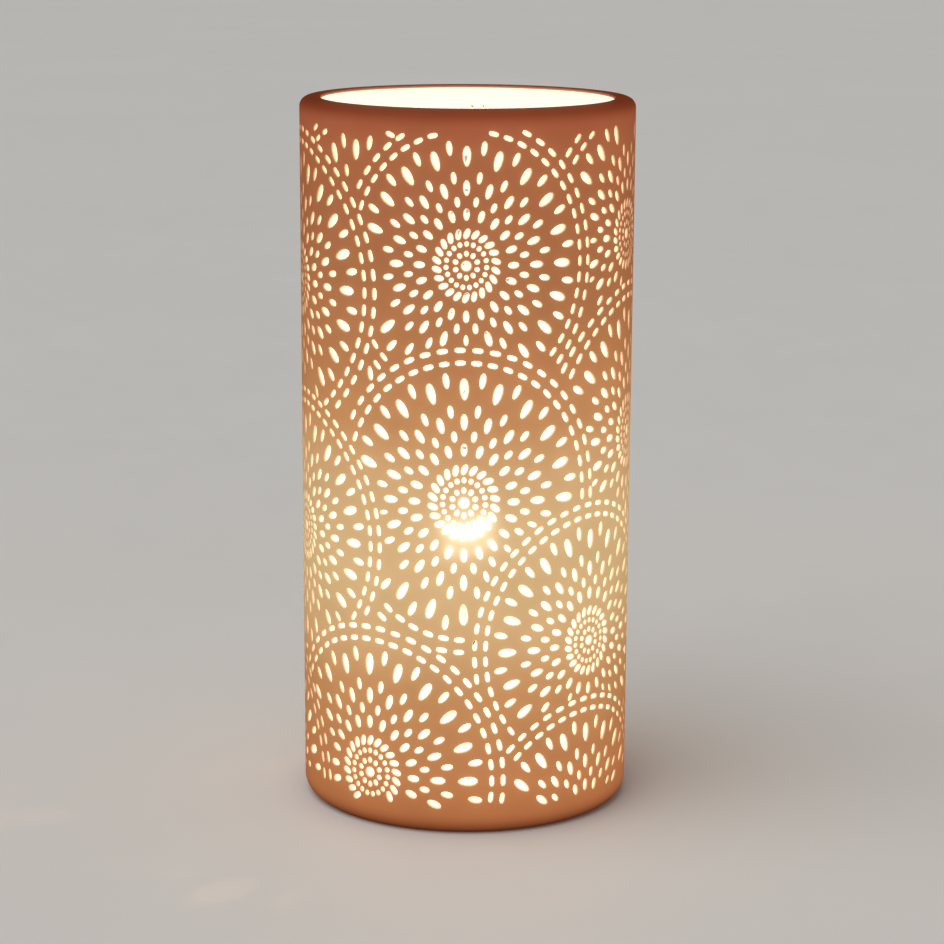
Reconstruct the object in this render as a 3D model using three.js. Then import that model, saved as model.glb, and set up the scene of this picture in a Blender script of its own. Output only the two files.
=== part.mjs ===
// A pierced porcelain tealight holder with its tealight: a tall cast cylinder, open at the top and closed at the
// bottom, and a clear cup of wax with a wick that stands on its floor and lifts out through the rim.
// Millimetres, +Z up. The origin is the middle of the foot, on the surface that the holder stands on.

import * as THREE from "three";

// --- Driving dimensions -----------------------------------------------------------------------------------------

const HOLDER_HEIGHT = 111;
const HOLDER_RIM_RADIUS = 26; // outside, at the rim
const HOLDER_BASE_RADIUS = 25.8; // outside, just above the foot: the casting's draft
const WALL = 3.35;
const FLOOR = 5;
const LIP_ROUND = 1.5; // the outer edge of the rim
const LIP_ROUND_INSIDE = 0.4; // its inner edge, which is cut off almost square
const FOOT_ROUND = 2.5; // the outer edge of the foot
const FLOOR_ROUND = 3; // the corner inside, between floor and wall
const RECESS_DEPTH = 0.8; // the underside stands on a ring, so that it can't rock
const RECESS_RADIUS = 18.5;

const CUP_RADIUS = 19; // a standard tealight is 38 mm across
const CUP_HEIGHT = 16;
const CUP_SKIN = 0.8;
const CUP_DRAFT = 0.6; // how much narrower the cup is at its floor
const CUP_ROUND = 0.8;

const WAX_DEPTH = 12.6;
const WAX_GAP = 0.1; // all round the wax, so that it shares no space with the cup
const MELT_POOL_RADIUS = 11;
const MELT_POOL_DEPTH = 0.7;

const TAB_RADIUS = 6; // the sustainer: a pressed steel disc with a neck that grips the wick
const TAB_THICKNESS = 0.4;
const NECK_RADIUS = 1.4;
const NECK_HEIGHT = 4;
const TAB_GAP = 0.15; // between the sustainer and the wax that was poured round it

const WICK_RADIUS = 0.8;
const WICK_GAP = 0.15;
const WICK_STANDS_OUT = 8; // above the wax
const WICK_CURL = 1.6; // how far its burnt tip leans over
const WICK_BEND = 0.6; // how far up its bare length it starts to lean

const ROUND_STEPS = 6; // chords in a quarter circle of a rounded edge
const HOLDER_SIDES = 96;
const CUP_SIDES = 64;
const NECK_SIDES = 24;
const WICK_SIDES = 12;
const WICK_STEPS = 14;

// --- Heights that follow from them ------------------------------------------------------------------------------

const cupBottom = FLOOR;
const waxBottom = cupBottom + CUP_SKIN + WAX_GAP;
const waxTop = waxBottom + WAX_DEPTH;
const wickBottom = waxBottom + TAB_THICKNESS;
const wickTop = waxTop - MELT_POOL_DEPTH + WICK_STANDS_OUT;

// --- Helpers ----------------------------------------------------------------------------------------------------

// Points (radius, height) on a circular arc about a centre, from one angle to another, in degrees from outwards.
function arc(centreRadius, centreHeight, round, from, to) {
  const points = [];
  for (let i = 0; i <= ROUND_STEPS; i++) {
    const angle = THREE.MathUtils.degToRad(from + ((to - from) * i) / ROUND_STEPS);
    points.push([
      centreRadius + round * Math.cos(angle),
      centreHeight + round * Math.sin(angle),
    ]);
  }
  return points;
}

// A solid of revolution about +Z from an outline of (radius, height) points that runs anticlockwise.
function turned(outline, sides) {
  const points = outline.map(([radius, height]) => new THREE.Vector2(radius, height));
  return new THREE.LatheGeometry(points, sides).rotateX(Math.PI / 2);
}

function material(colour, roughness, metalness = 0, opacity = 1) {
  return new THREE.MeshStandardMaterial({
    color: colour,
    roughness,
    metalness,
    opacity,
    transparent: opacity < 1,
  });
}

function part(name, geometry, surface) {
  const mesh = new THREE.Mesh(geometry, surface);
  mesh.name = name;
  return mesh;
}

// --- The holder -------------------------------------------------------------------------------------------------

// One casting: foot ring, rounded foot, straight wall with a little draft, rounded lip and flat floor.
function holder() {
  const innerRim = HOLDER_RIM_RADIUS - WALL;
  const innerBase = HOLDER_BASE_RADIUS - WALL;
  const outline = [
    [0, RECESS_DEPTH],
    [RECESS_RADIUS, RECESS_DEPTH],
    [RECESS_RADIUS + RECESS_DEPTH, 0],
    ...arc(HOLDER_BASE_RADIUS - FOOT_ROUND, FOOT_ROUND, FOOT_ROUND, -90, 0),
    ...arc(HOLDER_RIM_RADIUS - LIP_ROUND, HOLDER_HEIGHT - LIP_ROUND, LIP_ROUND, 0, 90),
    ...arc(innerRim + LIP_ROUND_INSIDE, HOLDER_HEIGHT - LIP_ROUND_INSIDE, LIP_ROUND_INSIDE, 90, 180),
    ...arc(innerBase - FLOOR_ROUND, FLOOR + FLOOR_ROUND, FLOOR_ROUND, 0, -90),
    [0, FLOOR],
  ];
  return part("holder", turned(outline, HOLDER_SIDES), material(0xf3ece2, 0.42));
}

// --- The tealight -----------------------------------------------------------------------------------------------

// The cup's outer radius at a height above its underside.
function cupRadiusAt(height) {
  return CUP_RADIUS - CUP_DRAFT * (1 - height / CUP_HEIGHT);
}

// A thin clear cup with a flat floor, drafted wall and rounded lip.
function cup() {
  const lip = CUP_SKIN / 2;
  const inner = cupRadiusAt(CUP_SKIN) - CUP_SKIN;
  const outline = [
    [0, 0],
    ...arc(cupRadiusAt(0) - CUP_ROUND, CUP_ROUND, CUP_ROUND, -90, 0),
    ...arc(CUP_RADIUS - lip, CUP_HEIGHT - lip, lip, 0, 180),
    [inner, CUP_SKIN],
    [0, CUP_SKIN],
  ];
  const mesh = part("cup", turned(outline, CUP_SIDES), material(0xf4f6f6, 0.08, 0, 0.3));
  mesh.position.z = cupBottom;
  return mesh;
}

// The wax fills the cup round the sustainer and the wick, with a shallow dish where it has melted.
function wax() {
  const lowRadius = cupRadiusAt(CUP_SKIN + WAX_GAP) - CUP_SKIN - WAX_GAP;
  const highRadius = cupRadiusAt(CUP_SKIN + WAX_GAP + WAX_DEPTH) - CUP_SKIN - WAX_GAP;
  const bore = WICK_RADIUS + WICK_GAP;
  const neckBore = NECK_RADIUS + TAB_GAP;
  const tabTop = TAB_THICKNESS + TAB_GAP;
  const neckTop = tabTop + NECK_HEIGHT;
  const outline = [
    [TAB_RADIUS + TAB_GAP, 0],
    [lowRadius, 0],
    [highRadius, WAX_DEPTH],
    [MELT_POOL_RADIUS, WAX_DEPTH],
    [MELT_POOL_RADIUS - MELT_POOL_DEPTH, WAX_DEPTH - MELT_POOL_DEPTH],
    [bore, WAX_DEPTH - MELT_POOL_DEPTH],
    [bore, neckTop],
    [neckBore, neckTop],
    [neckBore, tabTop],
    [TAB_RADIUS + TAB_GAP, tabTop],
    [TAB_RADIUS + TAB_GAP, 0],
  ];
  const mesh = part("wax", turned(outline, CUP_SIDES), material(0xf6f1e4, 0.45));
  mesh.position.z = waxBottom;
  return mesh;
}

// The pressed steel disc and neck that hold the wick upright on the cup's floor.
function sustainer() {
  const grip = WICK_RADIUS + WICK_GAP / 2;
  const outline = [
    [0, 0],
    [TAB_RADIUS, 0],
    [TAB_RADIUS, TAB_THICKNESS],
    [NECK_RADIUS, TAB_THICKNESS],
    [NECK_RADIUS, NECK_HEIGHT],
    [grip, NECK_HEIGHT],
    [grip, TAB_THICKNESS],
    [0, TAB_THICKNESS],
  ];
  const mesh = part("wick_sustainer", turned(outline, NECK_SIDES), material(0xb9bcbe, 0.35, 1));
  mesh.position.z = waxBottom;
  return mesh;
}

// A round cord that runs straight up through the wax and leans over at its burnt tip.
function wick() {
  const bareLength = wickTop - waxTop;
  const path = new THREE.CatmullRomCurve3([
    new THREE.Vector3(0, 0, wickBottom),
    new THREE.Vector3(0, 0, (wickBottom + waxTop) / 2),
    new THREE.Vector3(0, 0, waxTop),
    new THREE.Vector3(WICK_CURL / 4, 0, waxTop + WICK_BEND * bareLength),
    new THREE.Vector3(WICK_CURL, 0, wickTop),
  ]);
  const section = new THREE.Shape();
  section.absarc(0, 0, WICK_RADIUS, 0, 2 * Math.PI);
  const geometry = new THREE.ExtrudeGeometry(section, {
    steps: WICK_STEPS,
    curveSegments: WICK_SIDES,
    extrudePath: path,
  });
  return part("wick", geometry, material(0xe9dfc8, 0.9));
}

// --- The assembly -----------------------------------------------------------------------------------------------

const tealight = new THREE.Group();
tealight.add(cup(), wax(), sustainer(), wick());

const assembly = new THREE.Group();
assembly.add(holder(), tealight);

export default assembly;
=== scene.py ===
"""A pierced porcelain tealight holder, lit from inside by the tealight that stands in it; the flame's light
on the porcelain and the wax is painted on as emission.

The holder is one closed mesh: a turned foot, lip and floor, and between them a wall with overlapping
rosettes of holes cut right through it. The tealight's pieces and its flame move together on the body
"tealight". Lengths are in millimetres until a mesh is finished, and in metres after that.
"""

import math
from collections import namedtuple

import bpy
import numpy as np
from mathutils import Euler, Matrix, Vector
from mathutils.geometry import delaunay_2d_cdt


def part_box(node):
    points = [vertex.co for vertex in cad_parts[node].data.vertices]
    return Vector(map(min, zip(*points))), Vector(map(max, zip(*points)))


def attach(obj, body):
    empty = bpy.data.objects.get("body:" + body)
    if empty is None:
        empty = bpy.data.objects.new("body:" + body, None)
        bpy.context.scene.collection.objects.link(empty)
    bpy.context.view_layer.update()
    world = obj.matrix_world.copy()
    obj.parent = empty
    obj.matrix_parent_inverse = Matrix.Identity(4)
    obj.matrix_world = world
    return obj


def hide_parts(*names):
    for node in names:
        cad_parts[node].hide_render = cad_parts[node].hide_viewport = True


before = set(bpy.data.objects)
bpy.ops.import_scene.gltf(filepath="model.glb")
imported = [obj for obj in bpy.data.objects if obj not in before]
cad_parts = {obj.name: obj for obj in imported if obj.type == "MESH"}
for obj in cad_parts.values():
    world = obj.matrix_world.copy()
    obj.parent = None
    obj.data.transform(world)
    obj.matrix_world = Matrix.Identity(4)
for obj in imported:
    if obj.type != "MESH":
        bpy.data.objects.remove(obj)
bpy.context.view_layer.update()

MM = 0.001
TURN = 2 * math.pi


# --- Sizes, from the frame --------------------------------------------------------------------------------


def lowest(node):
    """A CAD node's lowest corner, in millimetres."""
    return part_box(node)[0] / MM


def highest(node):
    """A CAD node's highest corner, in millimetres."""
    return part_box(node)[1] / MM


HEIGHT = highest("holder").z
RIM_RADIUS = highest("holder").x
FLOOR = lowest("cup").z
WAX_TOP = highest("wax").z
WICK_TIP = highest("wick").z

# The rest of the holder's profile, which is the CAD's.
DRAFT = 0.2  # how much smaller the wall's radius is at the foot than at the rim
BASE_RADIUS = RIM_RADIUS - DRAFT
WALL = 3.35
LIP_ROUND = 1.5
LIP_ROUND_INSIDE = 0.4
FOOT_ROUND = 2.5
FLOOR_ROUND = 3.0
RECESS_DEPTH = 0.8
RECESS_RADIUS = 18.5

# --- The rosettes -----------------------------------------------------------------------------------------

# One ring of holes in a rosette of the size ROSETTE_UNIT, in millimetres and degrees. radius is the ring's,
# first is the first hole's direction, and turn is the angle from a hole's own radius to its long side. fat
# makes its outer end wider than its inner one, square is 2 for an ellipse and more for a blunter shape, and
# corners is how many its outline has.
Ring = namedtuple("Ring", "radius count first length width turn fat square corners")

ROSETTE_UNIT = 20.0
STRETCH = 1.065  # every rosette is a little taller than it is wide
RINGS = (
    Ring(0.00, 1, 0, 1.46, 1.36, 0, 0.0, 2.0, 12),
    Ring(1.82, 10, 18, 0.84, 0.72, 0, 0.0, 2.0, 8),
    Ring(3.27, 19, -5, 0.76, 0.70, 0, 0.0, 2.0, 8),
    Ring(4.81, 22, 7.4, 1.54, 0.83, -25, 0.0, 2.2, 10),
    Ring(7.65, 20, 0, 1.77, 0.90, 0, 0.06, 2.1, 10),
    Ring(9.60, 20, 9, 1.48, 0.80, 0, 0.06, 2.1, 10),
    Ring(11.58, 20, 0, 2.23, 0.96, 0, 0.08, 2.0, 10),
    Ring(13.20, 20, 9, 1.77, 0.80, 0, 0.06, 2.1, 10),
    Ring(16.28, 20, 0, 2.92, 1.15, 0, 0.14, 2.0, 12),
    Ring(17.63, 20, 9, 2.15, 0.88, 0, 0.10, 2.0, 10),
    Ring(20.00, 51, 0, 1.58, 0.69, 90, 0.0, 2.7, 8),
    Ring(21.81, 51, 0, 1.64, 0.69, 90, 0.0, 2.7, 8),
)
DISC_EDGE = 22.05  # a rosette covers what lies under it out to here

# Where each rosette's middle is: degrees round from the front, which faces -Y, towards +X, and height. A
# rosette covers all those after it, so the ones that lie on top come first.
Rosette = namedtuple("Rosette", "angle height size")
SMALL, LARGE = 18.6, 20.0
ROSETTES = (
    Rosette(-103.0, 3.2, LARGE),
    Rosette(-34.8, 8.6, LARGE),
    Rosette(46.9, -2.0, SMALL),
    Rosette(47.8, 28.8, SMALL),
    Rosette(-75.2, 44.5, SMALL),
    Rosette(-0.7, 52.3, LARGE),
    Rosette(-80.4, 83.3, LARGE),
    Rosette(-0.2, 88.15, SMALL),
    Rosette(75.5, 59.9, LARGE),
    Rosette(70.3, 90.9, SMALL),
    Rosette(112.0, 20.0, LARGE),
    Rosette(168.0, 7.0, LARGE),
    Rosette(148.0, 45.5, SMALL),
    Rosette(-140.0, 35.0, LARGE),
    Rosette(125.0, 82.0, LARGE),
    Rosette(-163.0, 74.0, LARGE),
    Rosette(-125.0, 99.0, SMALL),
    Rosette(176.0, 106.0, SMALL),
    Rosette(-39.7, 88.5, SMALL),
    Rosette(100.0, 108.0, SMALL),
    Rosette(-115.0, 62.0, SMALL),
)
HOLES_NEAR = 4.2  # holes with their middles further apart than this can't touch
SMALLER_SIZES = (0.85, 0.7)  # of a petal that would otherwise run into a neighbour
LEAST_BRIDGE = 0.06  # porcelain left between two holes' softened edges
HOLES_LOWEST = 3.3  # no hole reaches below this height, or above the next
HOLES_HIGHEST = HEIGHT - 2.9

# --- The wall's mesh --------------------------------------------------------------------------------------

SIDES = 192  # round the lip, the foot and the floor
ROUND_STEPS = 8  # chords in a quarter circle of a rounded edge
EDGE_SHARE = 0.2  # how far a hole's softened edge spreads over the surface, as a share of the hole's width
EDGE_DEPTH = 0.25  # and how far it goes in
FILL_STEP = 2.0  # spacing of the points on plain porcelain between holes
FILL_CLEAR = 0.4  # those points keep this far from every hole
SHEET_LOW = 2.7  # the pierced sheet starts and ends at these heights on the outside
SHEET_HIGH = HEIGHT - 2.1
SHEET_LOW_INSIDE = FLOOR + 0.4  # low holes run up over the floor's round corner
SHEET_LEVEL_FROM = 10.0  # holes above this height run straight in
TOLERANCE = 1e-7  # of the triangulation, whose ring is about 1 across
HAND = np.random.default_rng(11)  # small differences between holes that were cut by hand
HAND_SLANT = 0.025  # how much they differ in direction, in radians
HAND_SIZE = 0.02  # and in size, as a share of it
HAND_SHIFT = 0.012  # and in place, as a share of their width

# --- Light ------------------------------------------------------------------------------------------------

FLAME_HEIGHT = 32.0
FLAME_WIDTH = 8.6
FLAME_FLATNESS = 0.92  # its thickness along Y, as a share of its width
FLAME_SWELL, FLAME_TAPER = 0.6, 0.95  # how slender it is towards the bottom and towards the top
FLAME_SINK = 3.6  # it starts this far below the wick's tip
FLAME_LEAN = 0.8  # how far its foot follows the wick to the side
FLAME_STEPS, FLAME_SIDES = 32, 32
FLAME_BRIGHTEST = 0.64  # how far up it
FLAME_STRENGTH = 50.0
FLAME_WAVER = 0.12  # how far its colours wander up and down, as a share of its height
FLAME_COLOURS = (  # by the share of its height
    (0.00, (0.002, 0.004, 0.014)),
    (0.12, (0.008, 0.007, 0.010)),
    (0.26, (0.036, 0.022, 0.010)),
    (0.40, (0.056, 0.044, 0.028)),
    (0.50, (0.090, 0.076, 0.055)),
    (0.57, (0.400, 0.340, 0.240)),
    (0.62, (1.000, 0.840, 0.600)),
    (0.66, (1.000, 0.840, 0.600)),
    (0.72, (0.300, 0.240, 0.160)),
    (0.78, (0.090, 0.076, 0.055)),
    (1.00, (0.042, 0.028, 0.014)),
)
FLAME_SOLIDITY = ((0.0, 0.05), (0.2, 0.25), (0.45, 0.85), (0.85, 0.95), (1.0, 0.2))

# The lamps that stand for the flame's light, in watts and metres.
LampOfFlame = namedtuple("LampOfFlame", "name power radius")
FLAME_LAMP = LampOfFlame("flame_light", 0.008, 0.002)
FLAME_LAMP_FOR_FLOOR = LampOfFlame("flame_light_on_floor", 0.4, 0.0025)
CANDLELIGHT = (1.0, 0.55, 0.22)

# The spread of bright light in a lens: round the lit porcelain, then round the flame itself. Brightness below
# the threshold doesn't spread, and brightness above the most counts as that much.
Bloom = namedtuple("Bloom", "threshold most strength size")
BLOOMS = (Bloom(0.85, 4.0, 0.3, 0.02), Bloom(5.0, 60.0, 1.9, 0.045))

WORLD_COLOUR = (1.0, 0.98, 0.95)
WORLD_POWER = 0.012  # how strongly it lights the pieces
BACKDROP = 0.45  # how bright it looks

FLOOR_SIDES = 96
FLOOR_RADII = (0.2, 0.6, 1.8, 6.0)  # metres

# The glow painted on each surface as emission, standing in for the flame's light, by distance from it in
# millimetres.
GLOW_NEAR, GLOW_FAR = 20.0, 180.0
WALL_GLOW = (
    (26, (0.68, 0.45, 0.215)),
    (29, (0.64, 0.38, 0.175)),
    (33, (0.55, 0.26, 0.10)),
    (40, (0.48, 0.195, 0.072)),
    (50, (0.40, 0.15, 0.055)),
    (60, (0.385, 0.13, 0.048)),
    (70, (0.40, 0.125, 0.048)),
    (100, (0.24, 0.055, 0.020)),
    (170, (0.12, 0.024, 0.009)),
)
HOLE_GLOW = (
    (26, (1.0, 0.90, 0.66)),
    (70, (0.95, 0.76, 0.48)),
    (90, (0.8, 0.55, 0.30)),
    (170, (0.35, 0.14, 0.05)),
)
INSIDE_GLOW = (
    (22, (0.34, 0.32, 0.26)),
    (50, (0.44, 0.41, 0.32)),
    (70, (0.66, 0.62, 0.53)),
    (90, (0.60, 0.46, 0.30)),
    (130, (0.25, 0.14, 0.06)),
    (170, (0.12, 0.05, 0.02)),
)
WAX_GLOW = (
    (25, (0.95, 0.70, 0.38)),
    (31, (0.75, 0.47, 0.20)),
    (42, (0.42, 0.22, 0.08)),
)
# How much of the painted glow comes through, by height on the holder: the foot and the lip are thick, and the
# painted glow is darker and redder there.
SHARE_THROUGH = (
    (0, (0.16, 0.09, 0.08)),
    (0.6, (0.40, 0.26, 0.21)),
    (1.3, (0.64, 0.46, 0.39)),
    (2.2, (0.92, 0.76, 0.70)),
    (3.2, (1.08, 0.96, 0.88)),
    (8, (1.14, 1.10, 1.06)),
    (12, (1.04, 1.04, 1.02)),
    (20, (1.00, 1.00, 1.00)),
    (104, (1.00, 0.98, 1.00)),
    (108.5, (0.94, 0.78, 0.86)),
    (109.4, (0.78, 0.58, 0.56)),
    (110.3, (0.53, 0.28, 0.18)),
    (111, (0.44, 0.20, 0.10)),
)

# The outside's tints are a warm tan, darker than white porcelain: painted candlelight in the base colour,
# with a real random mottle between the two. The inside's are paler.
CANDLELIT_PORCELAIN_TINTS = ((0.62, 0.43, 0.31), (0.70, 0.50, 0.37))
PORCELAIN_INSIDE_TINTS = ((0.74, 0.69, 0.62), (0.80, 0.76, 0.70))


def flame_middle():
    """The flame's brightest place, in millimetres."""
    return Vector((0, 0, WICK_TIP - FLAME_SINK + FLAME_BRIGHTEST * FLAME_HEIGHT))


def add_object(name, data):
    thing = bpy.data.objects.new(name, data)
    bpy.context.scene.collection.objects.link(thing)
    return thing


# --- Camera -----------------------------------------------------------------------------------------------

CAMERA_DISTANCE = 446.4  # from the holder's axis
CAMERA_HEIGHT = 146.5
CAMERA_PITCH = 12.0  # degrees down from level
CAMERA_ROLL = 0.27
CAMERA_YAW = -0.12
LENS = 109.6
SENSOR = 36
CLIP_START, CLIP_END = 0.01, 50  # metres


def make_camera():
    data = bpy.data.cameras.new("camera")
    data.lens = LENS
    data.sensor_width = SENSOR
    data.clip_start = CLIP_START
    data.clip_end = CLIP_END
    camera = add_object("camera", data)
    camera.location = Vector((0, -CAMERA_DISTANCE, CAMERA_HEIGHT)) * MM
    aim = Euler((math.radians(90 - CAMERA_PITCH), 0, math.radians(CAMERA_YAW)))
    spin = Euler((0, 0, math.radians(CAMERA_ROLL)))
    camera.rotation_euler = (aim.to_matrix() @ spin.to_matrix()).to_euler()
    bpy.context.scene.camera = camera


make_camera()


# --- Node helpers -----------------------------------------------------------------------------------------


def new_material(name):
    """A material with one Principled shader, its node tree and that shader."""
    material = bpy.data.materials.new(name)
    material.use_nodes = True
    tree = material.node_tree
    shader = next(node for node in tree.nodes if node.type == "BSDF_PRINCIPLED")
    return material, tree, shader


def link(tree, source, target):
    tree.links.new(source, target)


def own_place(tree):
    """The surface's place on the piece's own coordinates, in metres."""
    return tree.nodes.new("ShaderNodeTexCoord").outputs["Object"]


def own_height(tree):
    split = tree.nodes.new("ShaderNodeSeparateXYZ")
    link(tree, own_place(tree), split.inputs["Vector"])
    return split.outputs["Z"]


def noise(tree, scale, detail=3.0, roughness=0.5):
    """A noise from 0 to 1, at scale cycles a metre on the piece's own coordinates."""
    node = tree.nodes.new("ShaderNodeTexNoise")
    node.inputs["Scale"].default_value = scale
    node.inputs["Detail"].default_value = detail
    node.inputs["Roughness"].default_value = roughness
    link(tree, own_place(tree), node.inputs["Vector"])
    return node.outputs["Fac"]


def remap(tree, value, from_low, from_high, to_low, to_high):
    node = tree.nodes.new("ShaderNodeMapRange")
    node.inputs["From Min"].default_value = from_low
    node.inputs["From Max"].default_value = from_high
    node.inputs["To Min"].default_value = to_low
    node.inputs["To Max"].default_value = to_high
    link(tree, value, node.inputs["Value"])
    return node.outputs["Result"]


NOISE_LOW, NOISE_HIGH = 0.3, 0.7  # most of a noise's values lie between these


def uneven(tree, scale, low, high, detail=3.0, roughness=0.5):
    """A number that wanders from low to high over the surface, at scale cycles a metre."""
    wander = noise(tree, scale, detail, roughness)
    return remap(tree, wander, NOISE_LOW, NOISE_HIGH, low, high)


def add(tree, first, second):
    node = tree.nodes.new("ShaderNodeMath")
    node.operation = "ADD"
    link(tree, first, node.inputs[0])
    link(tree, second, node.inputs[1])
    return node.outputs[0]


def mix_colour(tree, factor, first, second, blend="MIX"):
    """Two colours mixed by a factor. Each of the three is a number, a colour or another node's output."""
    node = tree.nodes.new("ShaderNodeMix")
    node.data_type = "RGBA"
    node.blend_type = blend
    factor_socket, first_socket, second_socket = node.inputs[0], node.inputs[6], node.inputs[7]
    for socket, value in ((factor_socket, factor), (first_socket, first), (second_socket, second)):
        if isinstance(value, (int, float)):
            socket.default_value = value
        elif isinstance(value, tuple):
            socket.default_value = (*value, 1)
        else:
            link(tree, value, socket)
    return node.outputs[2]


def mottled(tree, scale, first, second, detail=3.0, roughness=0.5):
    """A colour that wanders between two others over the surface, at scale cycles a metre."""
    return mix_colour(tree, noise(tree, scale, detail, roughness), first, second)


def ramp(tree, value, stops):
    """A colour ramp over value, from (position, colour) stops."""
    node = tree.nodes.new("ShaderNodeValToRGB")
    elements = node.color_ramp.elements
    while len(elements) > 1:
        elements.remove(elements[-1])
    elements[0].position = stops[0][0]
    elements[0].color = (*stops[0][1], 1)
    for position, colour in stops[1:]:
        elements.new(position).color = (*colour, 1)
    link(tree, value, node.inputs["Fac"])
    return node.outputs["Color"]


def attribute(tree, name):
    node = tree.nodes.new("ShaderNodeAttribute")
    node.attribute_name = name
    return node.outputs["Fac"]


def bump(tree, shader, height, distance, strength):
    """Raises the surface by a height from 0 to 1, where 1 is distance in metres."""
    node = tree.nodes.new("ShaderNodeBump")
    node.inputs["Strength"].default_value = strength
    node.inputs["Distance"].default_value = distance
    link(tree, height, node.inputs["Height"])
    link(tree, node.outputs["Normal"], shader.inputs["Normal"])


def shine(material, shader, colour, strength=1.0):
    """Lets a surface give off a colour, without being a lamp that Cycles aims light from."""
    link(material.node_tree, colour, shader.inputs["Emission Color"])
    shader.inputs["Emission Strength"].default_value = strength
    material.cycles.emission_sampling = "NONE"


# --- Mesh helpers -----------------------------------------------------------------------------------------


def arc(centre_radius, centre_height, round_by, start, end, steps):
    """Points (radius, height) on a circular arc, by angles in degrees from outwards."""
    angles = np.radians(np.linspace(start, end, steps + 1))
    return [
        (centre_radius + round_by * math.cos(a), centre_height + round_by * math.sin(a)) for a in angles
    ]


def lathe(name, outline, sides, material):
    """A smooth turned piece round +Z, from (radius, height) points in millimetres that run anticlockwise.

    The outline starts and ends on the axis.
    """
    verts, rings = [], []
    for radius, height in outline:
        if radius == 0:
            rings.append([len(verts)] * sides)
            verts.append((0, 0, height))
            continue
        rings.append(list(range(len(verts), len(verts) + sides)))
        for i in range(sides):
            a = TURN * i / sides
            verts.append((radius * math.cos(a), radius * math.sin(a), height))
    faces = []
    for low, high in zip(rings, rings[1:]):
        for i in range(sides):
            j = (i + 1) % sides
            corners = [low[i], low[j], high[j], high[i]]
            faces.append(list(dict.fromkeys(corners)))
    mesh = bpy.data.meshes.new(name)
    mesh.from_pydata([Vector(v) * MM for v in verts], [], faces)
    mesh.materials.append(material)
    mesh.shade_smooth()
    return add_object(name, mesh)


# --- The holder's holes -----------------------------------------------------------------------------------

# A hole on the unrolled wall, in millimetres of (arc, height): its middle, its outline on the outside and
# inside, and for a petal its inner end, which stays in place if it is cut smaller to keep clear of others.
Hole = namedtuple("Hole", "middle mouth bore inner_end")


def outline_of(ring, larger, grow):
    """The outline of one hole round its own middle, anticlockwise, long side along the first axis."""
    angles = TURN * (np.arange(ring.corners) + 0.5) / ring.corners
    c, s = np.cos(angles), np.sin(angles)
    along = np.sign(c) * np.abs(c) ** (2 / ring.square) * (larger * ring.length / 2 + grow)
    across = np.sign(s) * np.abs(s) ** (2 / ring.square) * (larger * ring.width / 2 + grow)
    return np.stack([along, across * (1 + ring.fat * c)], 1)


def turned_by(points, angle):
    c, s = math.cos(angle), math.sin(angle)
    return points @ np.array([[c, s], [-s, c]])


def holes_of(rosette):
    """Every hole of a rosette, in (arc, height) millimetres on the unrolled wall, with nothing left out."""
    scale = rosette.size / ROSETTE_UNIT
    middle = np.array([math.radians(rosette.angle) * RIM_RADIUS, rosette.height])
    squeeze = np.array([1, STRETCH])
    for ring in RINGS:
        for i in range(ring.count):
            direction = math.radians(ring.first + 360 * i / ring.count)
            slant = direction + math.radians(ring.turn) + HAND.normal(0, HAND_SLANT)
            larger = 1 + HAND.normal(0, HAND_SIZE)
            offset = ring.radius * np.array([math.cos(direction), math.sin(direction)])
            offset = offset + HAND.normal(0, HAND_SHIFT * ring.width, 2)
            outlines = [
                middle + (turned_by(outline_of(ring, larger, grow), slant) + offset) * scale * squeeze
                for grow in (EDGE_SHARE * ring.width, 0.0)
            ]
            inner_end = None
            if ring.turn == 0 and ring.radius > 0:
                inner_share = 1 - ring.length / (2 * ring.radius)
                inner_end = middle + offset * inner_share * scale * squeeze
            yield Hole(middle + offset * scale * squeeze, *outlines, inner_end)


def cut_smaller(hole, size):
    """The same petal at a smaller size, with its inner end left in place."""
    whole = (hole.middle, hole.mouth, hole.bore)
    middle, mouth, bore = (hole.inner_end + size * (points - hole.inner_end) for points in whole)
    return Hole(middle, mouth, bore, hole.inner_end)


def apart_on_wall(first, second):
    """The way from second to first on the unrolled wall, the short way round."""
    apart = np.atleast_2d(first) - second
    girth = TURN * RIM_RADIUS
    apart[:, 0] = (apart[:, 0] + girth / 2) % girth - girth / 2
    return apart


def is_covered(hole, rosettes):
    for rosette in rosettes:
        middle = np.array([math.radians(rosette.angle) * RIM_RADIUS, rosette.height])
        apart = apart_on_wall(hole.mouth, middle) / np.array([1, STRETCH])
        edge = DISC_EDGE * rosette.size / ROSETTE_UNIT
        if (np.hypot(apart[:, 0], apart[:, 1]) < edge).any():
            return True
    return False


def outside_sides(outline, points):
    """How far each point lies outside each side of a convex outline: rows are points, columns are sides."""
    sides = np.roll(outline, -1, 0) - outline
    outwards = np.stack([sides[:, 1], -sides[:, 0]], 1) / np.hypot(*sides.T)[:, None]
    return points @ outwards.T - (outline * outwards).sum(1)


def clearance(first, second):
    """How far apart two convex outlines are, along a normal of one; negative where they overlap."""
    return max(outside_sides(first, second).min(0).max(), outside_sides(second, first).min(0).max())


def touches(hole, kept):
    """Whether a hole comes closer than LEAST_BRIDGE to one that is already kept."""
    if not kept:
        return False
    apart = apart_on_wall(np.array([other.middle for other in kept]), hole.middle)
    for i in np.flatnonzero(np.hypot(apart[:, 0], apart[:, 1]) < HOLES_NEAR):
        other = kept[i].mouth - kept[i].middle + apart[i]
        if clearance(hole.mouth - hole.middle, other) < LEAST_BRIDGE:
            return True
    return False


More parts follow.
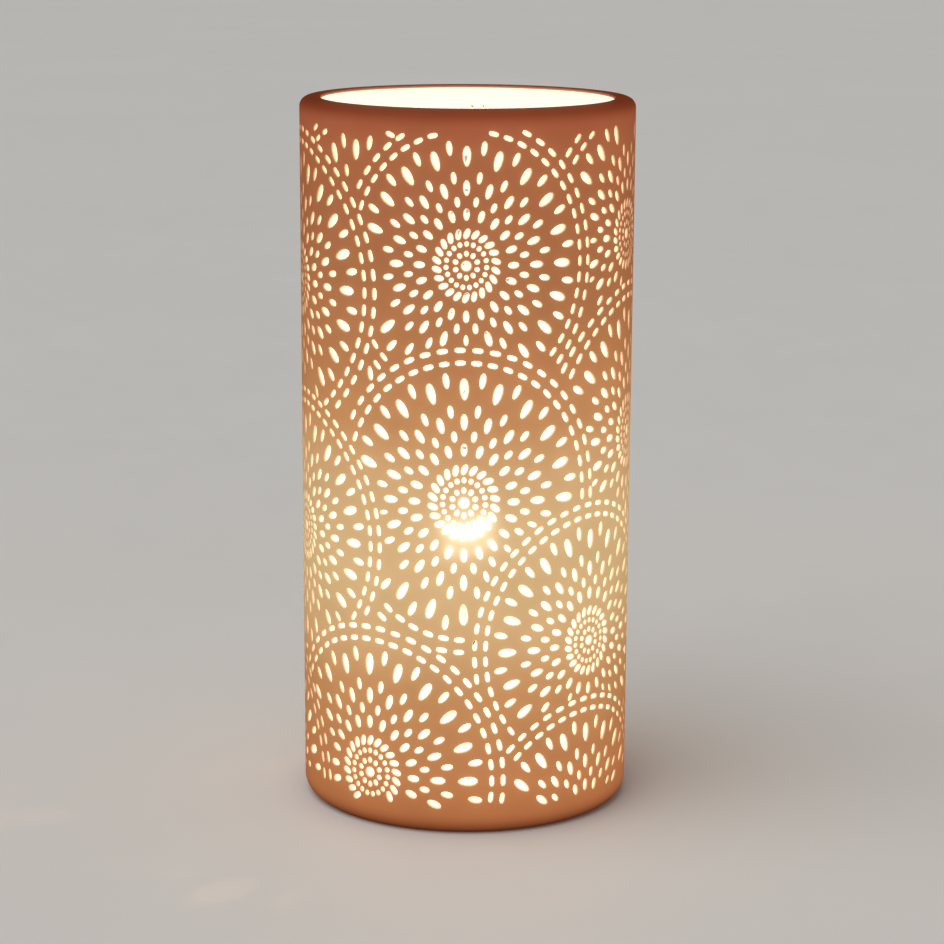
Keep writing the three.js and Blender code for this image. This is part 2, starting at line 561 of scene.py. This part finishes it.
def all_holes():
    """The holes that are cut: in the pierced band, under no other rosette, and clear of each other."""
    kept = []
    for i, rosette in enumerate(ROSETTES):
        for hole in holes_of(rosette):
            heights = hole.mouth[:, 1]
            if heights.min() < HOLES_LOWEST or heights.max() > HOLES_HIGHEST:
                continue
            choices = [hole]
            if hole.inner_end is not None:
                choices += [cut_smaller(hole, size) for size in SMALLER_SIZES]
            for choice in choices:
                if not is_covered(choice, ROSETTES[:i]) and not touches(choice, kept):
                    kept.append(choice)
                    break
    return kept


# --- The holder's mesh ------------------------------------------------------------------------------------


def outer_radius(height):
    """Outside radius of the wall, which has a little draft."""
    share = (height - FOOT_ROUND) / (HEIGHT - LIP_ROUND - FOOT_ROUND)
    return BASE_RADIUS + (RIM_RADIUS - BASE_RADIUS) * share


def inner_place(height):
    """Radius and height inside, at the end of a way through the wall that starts at a height outside."""
    share = np.clip((height - SHEET_LOW) / (SHEET_LEVEL_FROM - SHEET_LOW), 0, 1)
    low = SHEET_LOW_INSIDE + (SHEET_LEVEL_FROM - SHEET_LOW_INSIDE) * share
    inside = np.where(height < SHEET_LEVEL_FROM, low, height)
    drop = np.clip(FLOOR + FLOOR_ROUND - inside, 0, FLOOR_ROUND)
    corner = FLOOR_ROUND - np.sqrt(FLOOR_ROUND**2 - drop**2)
    return outer_radius(inside) - WALL - corner, inside


def on_cylinder(arc_lengths, radii, heights):
    angles = arc_lengths / RIM_RADIUS
    return np.stack([radii * np.sin(angles), -radii * np.cos(angles), heights], 1)


def boundary_loop(height):
    arcs = TURN * RIM_RADIUS * np.arange(SIDES) / SIDES
    return np.stack([arcs, np.full(SIDES, height)], 1)


def fill_points(holes):
    """Points of an even pattern on the plain porcelain, clear of every hole."""
    girth = TURN * RIM_RADIUS
    columns = round(girth / FILL_STEP)
    rows = round((SHEET_HIGH - SHEET_LOW) / (FILL_STEP * math.sqrt(3) / 2))
    grid = []
    for row in range(1, rows):
        shift = 0.5 * (row % 2)
        grid += [(girth * (i + shift) / columns, row / rows) for i in range(columns)]
    spots = np.array(grid) * [1, SHEET_HIGH - SHEET_LOW] + [0, SHEET_LOW]
    free = np.ones(len(spots), bool)
    for hole in holes:
        apart = apart_on_wall(spots, hole.middle)
        near = np.flatnonzero(np.hypot(*apart.T) < HOLES_NEAR)
        beyond = outside_sides(hole.mouth - hole.middle, apart[near]).max(1)
        free[near[beyond < FILL_CLEAR]] = False
    return spots[free]


def triangulate(points, loops):
    """Triangles between the loops, none inside a hole: rows of point numbers, anticlockwise from inside.

    The wall is laid flat as a ring, height outwards, which keeps every angle, so it needs no seam.
    """
    angles = points[:, 0] / RIM_RADIUS
    outwards = np.exp((points[:, 1] - HEIGHT / 2) / RIM_RADIUS)
    flat = np.stack([outwards * np.cos(angles), outwards * np.sin(angles)], 1)
    edges = [(int(a), int(b)) for loop in loops for a, b in zip(loop, np.roll(loop, -1))]
    _, _, faces, originals, _, _ = delaunay_2d_cdt([Vector(p) for p in flat], edges, [], 0, TOLERANCE)
    number = np.array([ones[0] for ones in originals])
    triangles = number[np.array(faces)]
    loop_of = np.full(len(points), -1)
    for i, loop in enumerate(loops[:-1]):
        loop_of[loop] = i
    owners = loop_of[triangles]
    inside = (owners[:, 0] >= 0) & (owners[:, 0] == owners[:, 1]) & (owners[:, 1] == owners[:, 2])
    return triangles[~inside]


def turned_rings(outline):
    """Vertices of a turned strip: SIDES to a ring, and a single one for a point on the axis."""
    angles = TURN * np.arange(SIDES) / SIDES
    rings = []
    for radius, height in outline:
        if radius == 0:
            rings.append(np.array([[0, 0, height]]))
        else:
            rings.append(on_cylinder(angles * RIM_RADIUS, radius, np.full(SIDES, height)))
    return rings


class Shell:
    """One mesh as it is added up, with each face's material and normals, and each vertex's depth."""

    def __init__(self):
        self.verts, self.depths, self.faces, self.slots, self.normals = [], [], [], [], []
        self.count = 0

    def add_verts(self, places, depth):
        first = self.count
        self.verts.append(places)
        self.depths.append(np.full(len(places), depth))
        self.count += len(places)
        return np.arange(first, self.count)

    def add_faces(self, corners, slot, normals=None):
        """Faces as rows of vertex numbers. Where normals aren't given, Blender works them out."""
        self.faces.extend(corners.tolist())
        self.slots.extend([slot] * len(corners))
        self.normals.append(np.zeros((corners.size, 3)) if normals is None else normals.reshape(-1, 3))

    def bridge(self, first, second, slot, normals=None):
        """Faces between two rings of vertices, from the first to the second, anticlockwise from outside."""
        if len(first) == 1:
            corners = [np.full(len(second), first[0]), np.roll(second, -1), second]
        elif len(second) == 1:
            corners = [first, np.roll(first, -1), np.full(len(first), second[0])]
        else:
            corners = [first, np.roll(first, -1), np.roll(second, -1), second]
        if normals is not None:
            ahead = [np.roll(ring, -1, 0) for ring in normals]
            normals = np.stack([normals[0], ahead[0], ahead[1], normals[1]], 1)
        self.add_faces(np.stack(corners, 1), slot, normals)

    def turn(self, outline, start, end, slot, depth):
        """A turned strip along the outline. Its first or last ring, where given, is already there."""
        rings = turned_rings(outline)
        numbers = [] if start is None else [start]
        middle = rings[len(numbers) : len(rings) - (end is not None)]
        numbers += [self.add_verts(ring, depth) for ring in middle]
        if end is not None:
            numbers.append(end)
        for first, second in zip(numbers, numbers[1:]):
            self.bridge(first, second, slot)
        return numbers[-1]

    def build(self, name, materials):
        mesh = bpy.data.meshes.new(name)
        mesh.from_pydata(np.concatenate(self.verts) * MM, [], self.faces)
        for material in materials:
            mesh.materials.append(material)
        mesh.polygons.foreach_set("material_index", self.slots)
        depth = mesh.attributes.new("depth", "FLOAT", "POINT")
        depth.data.foreach_set("value", np.concatenate(self.depths))
        mesh.shade_smooth()
        mesh.normals_split_custom_set(np.concatenate(self.normals))
        return add_object(name, mesh)


OUTSIDE, THROUGH, INSIDE = range(3)


def outwards_at(arc_lengths):
    return on_cylinder(arc_lengths, 1.0, np.zeros(len(arc_lengths)))


def inwards_at(inside):
    """Normals of the inner surface, which curves into the floor at the bottom."""
    radius, height = inner_place(inside[:, 1])
    corner_radius = BASE_RADIUS - WALL - FLOOR_ROUND
    in_corner = height < FLOOR + FLOOR_ROUND
    inwards = np.where(in_corner, corner_radius - radius, -1.0)
    upwards = np.where(in_corner, FLOOR + FLOOR_ROUND - height, 0.0)
    normals = on_cylinder(inside[:, 0], inwards, upwards)
    return normals / np.linalg.norm(normals, axis=1)[:, None]


def bore_normals(outline):
    """Normals of a hole's wall at each corner of its outline, towards the middle of the hole."""
    sides = np.roll(outline, -1, 0) - outline
    inwards = np.stack([-sides[:, 1], sides[:, 0]], 1) / np.hypot(*sides.T)[:, None]
    inwards = inwards + np.roll(inwards, 1, 0)
    inwards /= np.hypot(*inwards.T)[:, None]
    angles = outline[:, 0] / RIM_RADIUS
    return np.stack([inwards[:, 0] * np.cos(angles), inwards[:, 0] * np.sin(angles), inwards[:, 1]], 1)


def foot_outline():
    """From the middle of the underside, out round the foot and up to the pierced sheet."""
    points = [(0, RECESS_DEPTH), (RECESS_RADIUS, RECESS_DEPTH), (RECESS_RADIUS + RECESS_DEPTH, 0)]
    points += arc(BASE_RADIUS - FOOT_ROUND, FOOT_ROUND, FOOT_ROUND, -90, 0, ROUND_STEPS)
    return points + [(outer_radius(SHEET_LOW), SHEET_LOW)]


def lip_outline():
    """From the top of the pierced sheet's outside, over the lip and down to its square inner edge."""
    edge_radius = RIM_RADIUS - WALL + LIP_ROUND_INSIDE
    points = [(outer_radius(SHEET_HIGH), SHEET_HIGH)]
    points += arc(RIM_RADIUS - LIP_ROUND, HEIGHT - LIP_ROUND, LIP_ROUND, 0, 90, ROUND_STEPS)
    edge = arc(edge_radius, HEIGHT - LIP_ROUND_INSIDE, LIP_ROUND_INSIDE, 90, 180, ROUND_STEPS // 2)
    return points + edge


def throat_outline():
    """From the lip's inner edge down to the top of the pierced sheet's inside."""
    lip_edge = (RIM_RADIUS - WALL, HEIGHT - LIP_ROUND_INSIDE)
    return [lip_edge, (outer_radius(SHEET_HIGH) - WALL, SHEET_HIGH)]


def floor_outline():
    """From the bottom of the pierced sheet's inside, down the round corner to the middle of the floor."""
    start_radius, start_height = inner_place(np.array(SHEET_LOW))
    start = math.degrees(math.asin((start_height - FLOOR - FLOOR_ROUND) / FLOOR_ROUND))
    centre_radius, centre_height = BASE_RADIUS - WALL - FLOOR_ROUND, FLOOR + FLOOR_ROUND
    corner = arc(centre_radius, centre_height, FLOOR_ROUND, start, -90, ROUND_STEPS)
    return [(float(start_radius), float(start_height))] + corner[1:] + [(0, FLOOR)]


def make_holder(materials):
    """The whole casting: the pierced sheet, the holes through it, and the turned parts round it."""
    holes = all_holes()
    mouths = np.concatenate([hole.mouth for hole in holes])
    bores = np.concatenate([hole.bore for hole in holes])
    low, high = boundary_loop(SHEET_LOW), boundary_loop(SHEET_HIGH)
    fill = fill_points(holes)
    outside = np.concatenate([mouths, fill, low, high])
    inside = np.concatenate([bores, fill, low, high])

    starts = np.cumsum([0] + [len(hole.mouth) for hole in holes])
    loops = [np.arange(a, b) for a, b in zip(starts, starts[1:])]
    low_loop = len(outside) - 2 * SIDES + np.arange(SIDES)
    high_loop = low_loop + SIDES
    triangles = triangulate(outside, loops + [low_loop, high_loop])

    shell = Shell()
    outer = shell.add_verts(on_cylinder(outside[:, 0], outer_radius(outside[:, 1]), outside[:, 1]), 0.0)
    lip_radius = outer_radius(bores[:, 1]) - EDGE_DEPTH
    edge = shell.add_verts(on_cylinder(bores[:, 0], lip_radius, bores[:, 1]), EDGE_DEPTH / WALL)
    inner = shell.add_verts(on_cylinder(inside[:, 0], *inner_place(inside[:, 1])), 1.0)
    outwards = outwards_at(outside[:, 0])
    shell.add_faces(outer[triangles[:, ::-1]], OUTSIDE, outwards[triangles[:, ::-1]])
    shell.add_faces(inner[triangles], INSIDE, inwards_at(inside)[triangles])
    for hole, loop in zip(holes, loops):
        across = bore_normals(hole.bore)
        shell.bridge(outer[loop], edge[loop], THROUGH, [outwards[loop], across])
        shell.bridge(edge[loop], inner[loop], THROUGH, [across, across])

    shell.turn(foot_outline(), None, outer[low_loop], OUTSIDE, 0.0)
    lip_edge = shell.turn(lip_outline(), outer[high_loop], None, OUTSIDE, 0.0)
    shell.turn(throat_outline(), lip_edge, inner[high_loop], INSIDE, 1.0)
    shell.turn(floor_outline(), inner[low_loop], None, INSIDE, 1.0)
    return shell.build("porcelain_holder_pierced", materials)


# --- The flame --------------------------------------------------------------------------------------------


def make_flame(material):
    """A still candle flame, with its origin at its brightest place."""
    outline = []
    fullest = FLAME_SWELL / (FLAME_SWELL + FLAME_TAPER)
    widest = fullest**FLAME_SWELL * (1 - fullest) ** FLAME_TAPER
    for i in range(FLAME_STEPS + 1):
        share = i / FLAME_STEPS
        width = share**FLAME_SWELL * (1 - share) ** FLAME_TAPER / widest
        radius = 0 if i in (0, FLAME_STEPS) else FLAME_WIDTH / 2 * width
        outline.append((radius, (share - FLAME_BRIGHTEST) * FLAME_HEIGHT))
    piece = lathe("flame", outline, FLAME_SIDES, material)
    for vertex in piece.data.vertices:
        rise = vertex.co.z / (FLAME_HEIGHT * MM) + FLAME_BRIGHTEST
        vertex.co.x += FLAME_LEAN * MM * (1 - rise) ** 2
        vertex.co.y *= FLAME_FLATNESS
    piece.location = flame_middle() * MM
    return piece


def flame_material():
    """Dark blue at its foot and brightest well above the wick, and almost clear where it is dark."""
    material, tree, shader = new_material("flame")
    low = -FLAME_BRIGHTEST * FLAME_HEIGHT * MM
    rise = remap(tree, own_height(tree), low, low + FLAME_HEIGHT * MM, 0, 1)
    waver = remap(tree, noise(tree, 160, detail=2), 0, 1, -FLAME_WAVER / 2, FLAME_WAVER / 2)
    rise = add(tree, rise, waver)
    shine(material, shader, ramp(tree, rise, FLAME_COLOURS), FLAME_STRENGTH)
    shader.inputs["Base Color"].default_value = (0, 0, 0, 1)
    shader.inputs["Roughness"].default_value = 1
    solidity = ramp(tree, rise, [(share, (solid,) * 3) for share, solid in FLAME_SOLIDITY])
    link(tree, solidity, shader.inputs["Alpha"])
    return material


flame = make_flame(flame_material())
flame.visible_diffuse = False  # its lamps light the other pieces in its place
flame.visible_glossy = False
flame.visible_shadow = False
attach(flame, "tealight")


# --- Porcelain --------------------------------------------------------------------------------------------


def flame_distance(tree):
    """How far the surface is from the flame, in metres, wherever the flame is carried."""
    place = tree.nodes.new("ShaderNodeTexCoord")
    place.object = flame
    length = tree.nodes.new("ShaderNodeVectorMath")
    length.operation = "LENGTH"
    link(tree, place.outputs["Object"], length.inputs[0])
    return length.outputs["Value"]


def glow_ramp(tree, stops):
    """Painted glow: colour by distance from the flame, from (millimetres, colour) stops."""
    reach = GLOW_FAR - GLOW_NEAR
    share = remap(tree, flame_distance(tree), GLOW_NEAR * MM, GLOW_FAR * MM, 0, 1)
    return ramp(tree, share, [((far - GLOW_NEAR) / reach, colour) for far, colour in stops])


def wall_glow(tree):
    """The painted glow that stands in for light coming through the porcelain: less where it is thick, and
    clouded by its body.
    """
    glow = glow_ramp(tree, WALL_GLOW)
    height = remap(tree, own_height(tree), 0, HEIGHT * MM, 0, 1)
    thin = ramp(tree, height, [(at / HEIGHT, share) for at, share in SHARE_THROUGH])
    cloud = uneven(tree, 90, 0.93, 1.05, detail=4, roughness=0.6)
    return mix_colour(tree, 1.0, mix_colour(tree, 1.0, glow, thin, "MULTIPLY"), cloud, "MULTIPLY")


def porcelain_finish(tree, shader, tints):
    """Unglazed, finely sanded porcelain: a faint grain and slightly uneven gloss."""
    tint = mottled(tree, 55, *tints, detail=5, roughness=0.6)
    link(tree, tint, shader.inputs["Base Color"])
    link(tree, uneven(tree, 420, 0.40, 0.52), shader.inputs["Roughness"])
    bump(tree, shader, noise(tree, 1500, roughness=0.6), distance=0.00002, strength=0.5)


def outer_material():
    material, tree, shader = new_material("porcelain_outside")
    # Its base colour is the warm tan with painted candlelight in it.
    porcelain_finish(tree, shader, CANDLELIT_PORCELAIN_TINTS)
    shader.inputs["Coat Weight"].default_value = 0.8
    shader.inputs["Coat Roughness"].default_value = 0.38
    shader.inputs["Coat IOR"].default_value = 1.5
    # Painted glow: emission that stands in for the flame's light coming through the porcelain.
    shine(material, shader, wall_glow(tree))
    return material


def through_material():
    """The walls of the holes, from the wall's painted glow at the outside to brighter painted light further
    in.
    """
    material, tree, shader = new_material("porcelain_hole_walls")
    porcelain_finish(tree, shader, CANDLELIT_PORCELAIN_TINTS)
    depth = attribute(tree, "depth")
    lit = remap(tree, depth, 0.0, 2 * EDGE_DEPTH / WALL, 0, 1)
    shine(material, shader, mix_colour(tree, lit, wall_glow(tree), glow_ramp(tree, HOLE_GLOW)))
    return material


def inner_material():
    material, tree, shader = new_material("porcelain_inside")
    porcelain_finish(tree, shader, PORCELAIN_INSIDE_TINTS)
    # Painted glow on the inside: emission that stands in for the flame's light on it.
    shine(material, shader, glow_ramp(tree, INSIDE_GLOW))
    return material


holder = make_holder([outer_material(), through_material(), inner_material()])
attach(holder, "porcelain_holder")
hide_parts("holder")


# --- The tealight -----------------------------------------------------------------------------------------


def dress(node, material):
    """Gives a CAD node its material, in every slot that its mesh has."""
    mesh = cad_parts[node].data
    if not mesh.materials:
        mesh.materials.append(material)
    for i in range(len(mesh.materials)):
        mesh.materials[i] = material


POLYCARBONATE_IOR = 1.58
CUP_EDGE_BLEND = 0.35
CUP_SOLIDITY = (0.16, 0.75)  # seen square on, and seen along its surface
CHAR_FROM, CHAR_FULL = 1.0, 3.5  # above the wax, where the wick turns black
EMBER = 1.6  # the length of the wick's tip that glows
EMBER_COLOUR = (0.9, 0.16, 0.02)


def cup_material():
    material, tree, shader = new_material("clear_cup")
    tint = mottled(tree, 120, (0.86, 0.90, 0.90), (0.96, 0.97, 0.96))
    link(tree, tint, shader.inputs["Base Color"])
    link(tree, uneven(tree, 700, 0.05, 0.12, detail=2), shader.inputs["Roughness"])
    shader.inputs["IOR"].default_value = POLYCARBONATE_IOR
    weight = tree.nodes.new("ShaderNodeLayerWeight")
    weight.inputs["Blend"].default_value = CUP_EDGE_BLEND
    solidity = remap(tree, weight.outputs["Facing"], 0, 1, *CUP_SOLIDITY)
    link(tree, solidity, shader.inputs["Alpha"])
    return material


def wax_material():
    material, tree, shader = new_material("wax")
    tint = mottled(tree, 260, (0.80, 0.74, 0.62), (0.90, 0.86, 0.77), detail=4, roughness=0.6)
    link(tree, tint, shader.inputs["Base Color"])
    link(tree, uneven(tree, 500, 0.30, 0.48), shader.inputs["Roughness"])
    bump(tree, shader, noise(tree, 350, detail=4, roughness=0.6), distance=0.0001, strength=0.5)
    # Painted glow: emission that stands in for the flame's light on the wax.
    shine(material, shader, glow_ramp(tree, WAX_GLOW))
    return material


def steel_material():
    material, tree, shader = new_material("sustainer_steel")
    tint = mottled(tree, 900, (0.50, 0.51, 0.52), (0.66, 0.67, 0.68))
    link(tree, tint, shader.inputs["Base Color"])
    link(tree, uneven(tree, 2200, 0.24, 0.42, detail=2), shader.inputs["Roughness"])
    shader.inputs["Metallic"].default_value = 1
    bump(tree, shader, noise(tree, 3000, detail=2), distance=0.00001, strength=0.4)
    return material


def wick_material():
    """Plaited cotton that is charred towards its tip, where it glows."""
    material, tree, shader = new_material("wick_cotton")
    height = own_height(tree)
    burnt = remap(tree, height, (WAX_TOP + CHAR_FROM) * MM, (WAX_TOP + CHAR_FULL) * MM, 0, 1)
    cotton = mottled(tree, 1800, (0.62, 0.55, 0.42), (0.85, 0.80, 0.68))
    char = mottled(tree, 1500, (0.010, 0.008, 0.007), (0.05, 0.04, 0.035))
    link(tree, mix_colour(tree, burnt, cotton, char), shader.inputs["Base Color"])
    shader.inputs["Roughness"].default_value = 0.9
    bump(tree, shader, noise(tree, 2600, detail=2), distance=0.0001, strength=0.8)
    ember = remap(tree, height, (WICK_TIP - EMBER) * MM, WICK_TIP * MM, 0, 1)
    shine(material, shader, mix_colour(tree, ember, (0.0, 0.0, 0.0), EMBER_COLOUR))
    return material


dress("cup", cup_material())
dress("wax", wax_material())
dress("wick_sustainer", steel_material())
dress("wick", wick_material())


# --- Floor and light --------------------------------------------------------------------------------------


def make_floor():
    """A plain pale round sheet, wide enough to fill the view. It gives the holder no light of its own."""
    directions = [TURN * i / FLOOR_SIDES for i in range(FLOOR_SIDES)]
    verts = [(0, 0, 0)]
    for radius in FLOOR_RADII:
        verts += [(radius * math.cos(a), radius * math.sin(a), 0) for a in directions]
    faces = [(0, 1 + i, 1 + (i + 1) % FLOOR_SIDES) for i in range(FLOOR_SIDES)]
    for ring in range(len(FLOOR_RADII) - 1):
        near = 1 + ring * FLOOR_SIDES
        far = near + FLOOR_SIDES
        for i in range(FLOOR_SIDES):
            j = (i + 1) % FLOOR_SIDES
            faces.append((near + i, far + i, far + j, near + j))
    mesh = bpy.data.meshes.new("floor")
    mesh.from_pydata(verts, [], faces)
    material, tree, shader = new_material("floor")
    tint = mottled(tree, 6, (0.66, 0.64, 0.61), (0.70, 0.68, 0.65), detail=4)
    link(tree, tint, shader.inputs["Base Color"])
    link(tree, uneven(tree, 60, 0.55, 0.65), shader.inputs["Roughness"])
    mesh.materials.append(material)
    floor = add_object("floor", mesh)
    floor.visible_diffuse = False
    floor.visible_glossy = False
    return floor


def aim_at(light, direction):
    light.rotation_euler = Vector(direction).to_track_quat("-Z", "Y").to_euler()


def area_light(name, place, target, size, power):
    """A round soft lamp. Its place, target and size are in metres."""
    data = bpy.data.lights.new(name, "AREA")
    data.shape = "DISK"
    data.size = size
    data.energy = power
    light = add_object(name, data)
    light.location = place
    aim_at(light, Vector(target) - Vector(place))


def sun_light(name, direction, spread, power):
    """Even light from one side, softened over a spread in degrees."""
    data = bpy.data.lights.new(name, "SUN")
    data.energy = power
    data.angle = math.radians(spread)
    light = add_object(name, data)
    aim_at(light, direction)
    return light


def flame_light(lamp):
    """A lamp in the middle of the flame, which is carried with it."""
    data = bpy.data.lights.new(lamp.name, "POINT")
    data.energy = lamp.power
    data.color = CANDLELIGHT
    data.shadow_soft_size = lamp.radius
    light = add_object(lamp.name, data)
    light.location = flame_middle() * MM
    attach(light, "tealight")
    return light


def light_world():
    """An even pale backdrop, which lights the pieces far less than it looks as if it would."""
    world = bpy.data.worlds.new("studio")
    world.use_nodes = True
    tree = world.node_tree
    background = tree.nodes["Background"]
    background.inputs["Color"].default_value = (*WORLD_COLOUR, 1)
    path = tree.nodes.new("ShaderNodeLightPath")
    power = remap(tree, path.outputs["Is Camera Ray"], 0, 1, WORLD_POWER, BACKDROP)
    link(tree, power, background.inputs["Strength"])
    bpy.context.scene.world = world


def light_only(light, piece):
    """Keeps a light to one piece, so that the floor can be pale beside a holder whose glow from its flame is
    mostly painted on.
    """
    lit = bpy.data.collections.new(light.name + "_lights")
    lit.objects.link(piece)
    light.light_linking.receiver_collection = lit


floor = make_floor()
light_world()
flame_light(FLAME_LAMP)
light_only(flame_light(FLAME_LAMP_FOR_FLOOR), floor)
area_light("soft_key", place=(-0.7, -0.9, 1.3), target=(0, 0, 0.05), size=1.2, power=0.3)
light_only(sun_light("floor_light", direction=(0.45, 0.35, -1), spread=60, power=1.5), floor)
light_only(sun_light("floor_fill", direction=(0, 0, -1), spread=150, power=1.0), floor)

bpy.context.scene.view_settings.view_transform = "Standard"


def add_bloom():
    """Spreads very bright light, so that the flame dazzles through the holes in front of it."""
    scene = bpy.context.scene
    scene.use_nodes = True
    tree = scene.node_tree
    tree.nodes.clear()
    layers = tree.nodes.new("CompositorNodeRLayers")
    output = tree.nodes.new("CompositorNodeComposite")
    image = layers.outputs["Image"]
    for bloom in BLOOMS:
        glare = tree.nodes.new("CompositorNodeGlare")
        glare.glare_type = "BLOOM"
        glare.quality = "HIGH"
        glare.inputs["Threshold"].default_value = bloom.threshold
        glare.inputs["Clamp"].default_value = True
        glare.inputs["Maximum"].default_value = bloom.most
        glare.inputs["Strength"].default_value = bloom.strength
        glare.inputs["Size"].default_value = bloom.size
        link(tree, image, glare.inputs["Image"])
        image = glare.outputs["Image"]
    link(tree, image, output.inputs["Image"])


add_bloom()
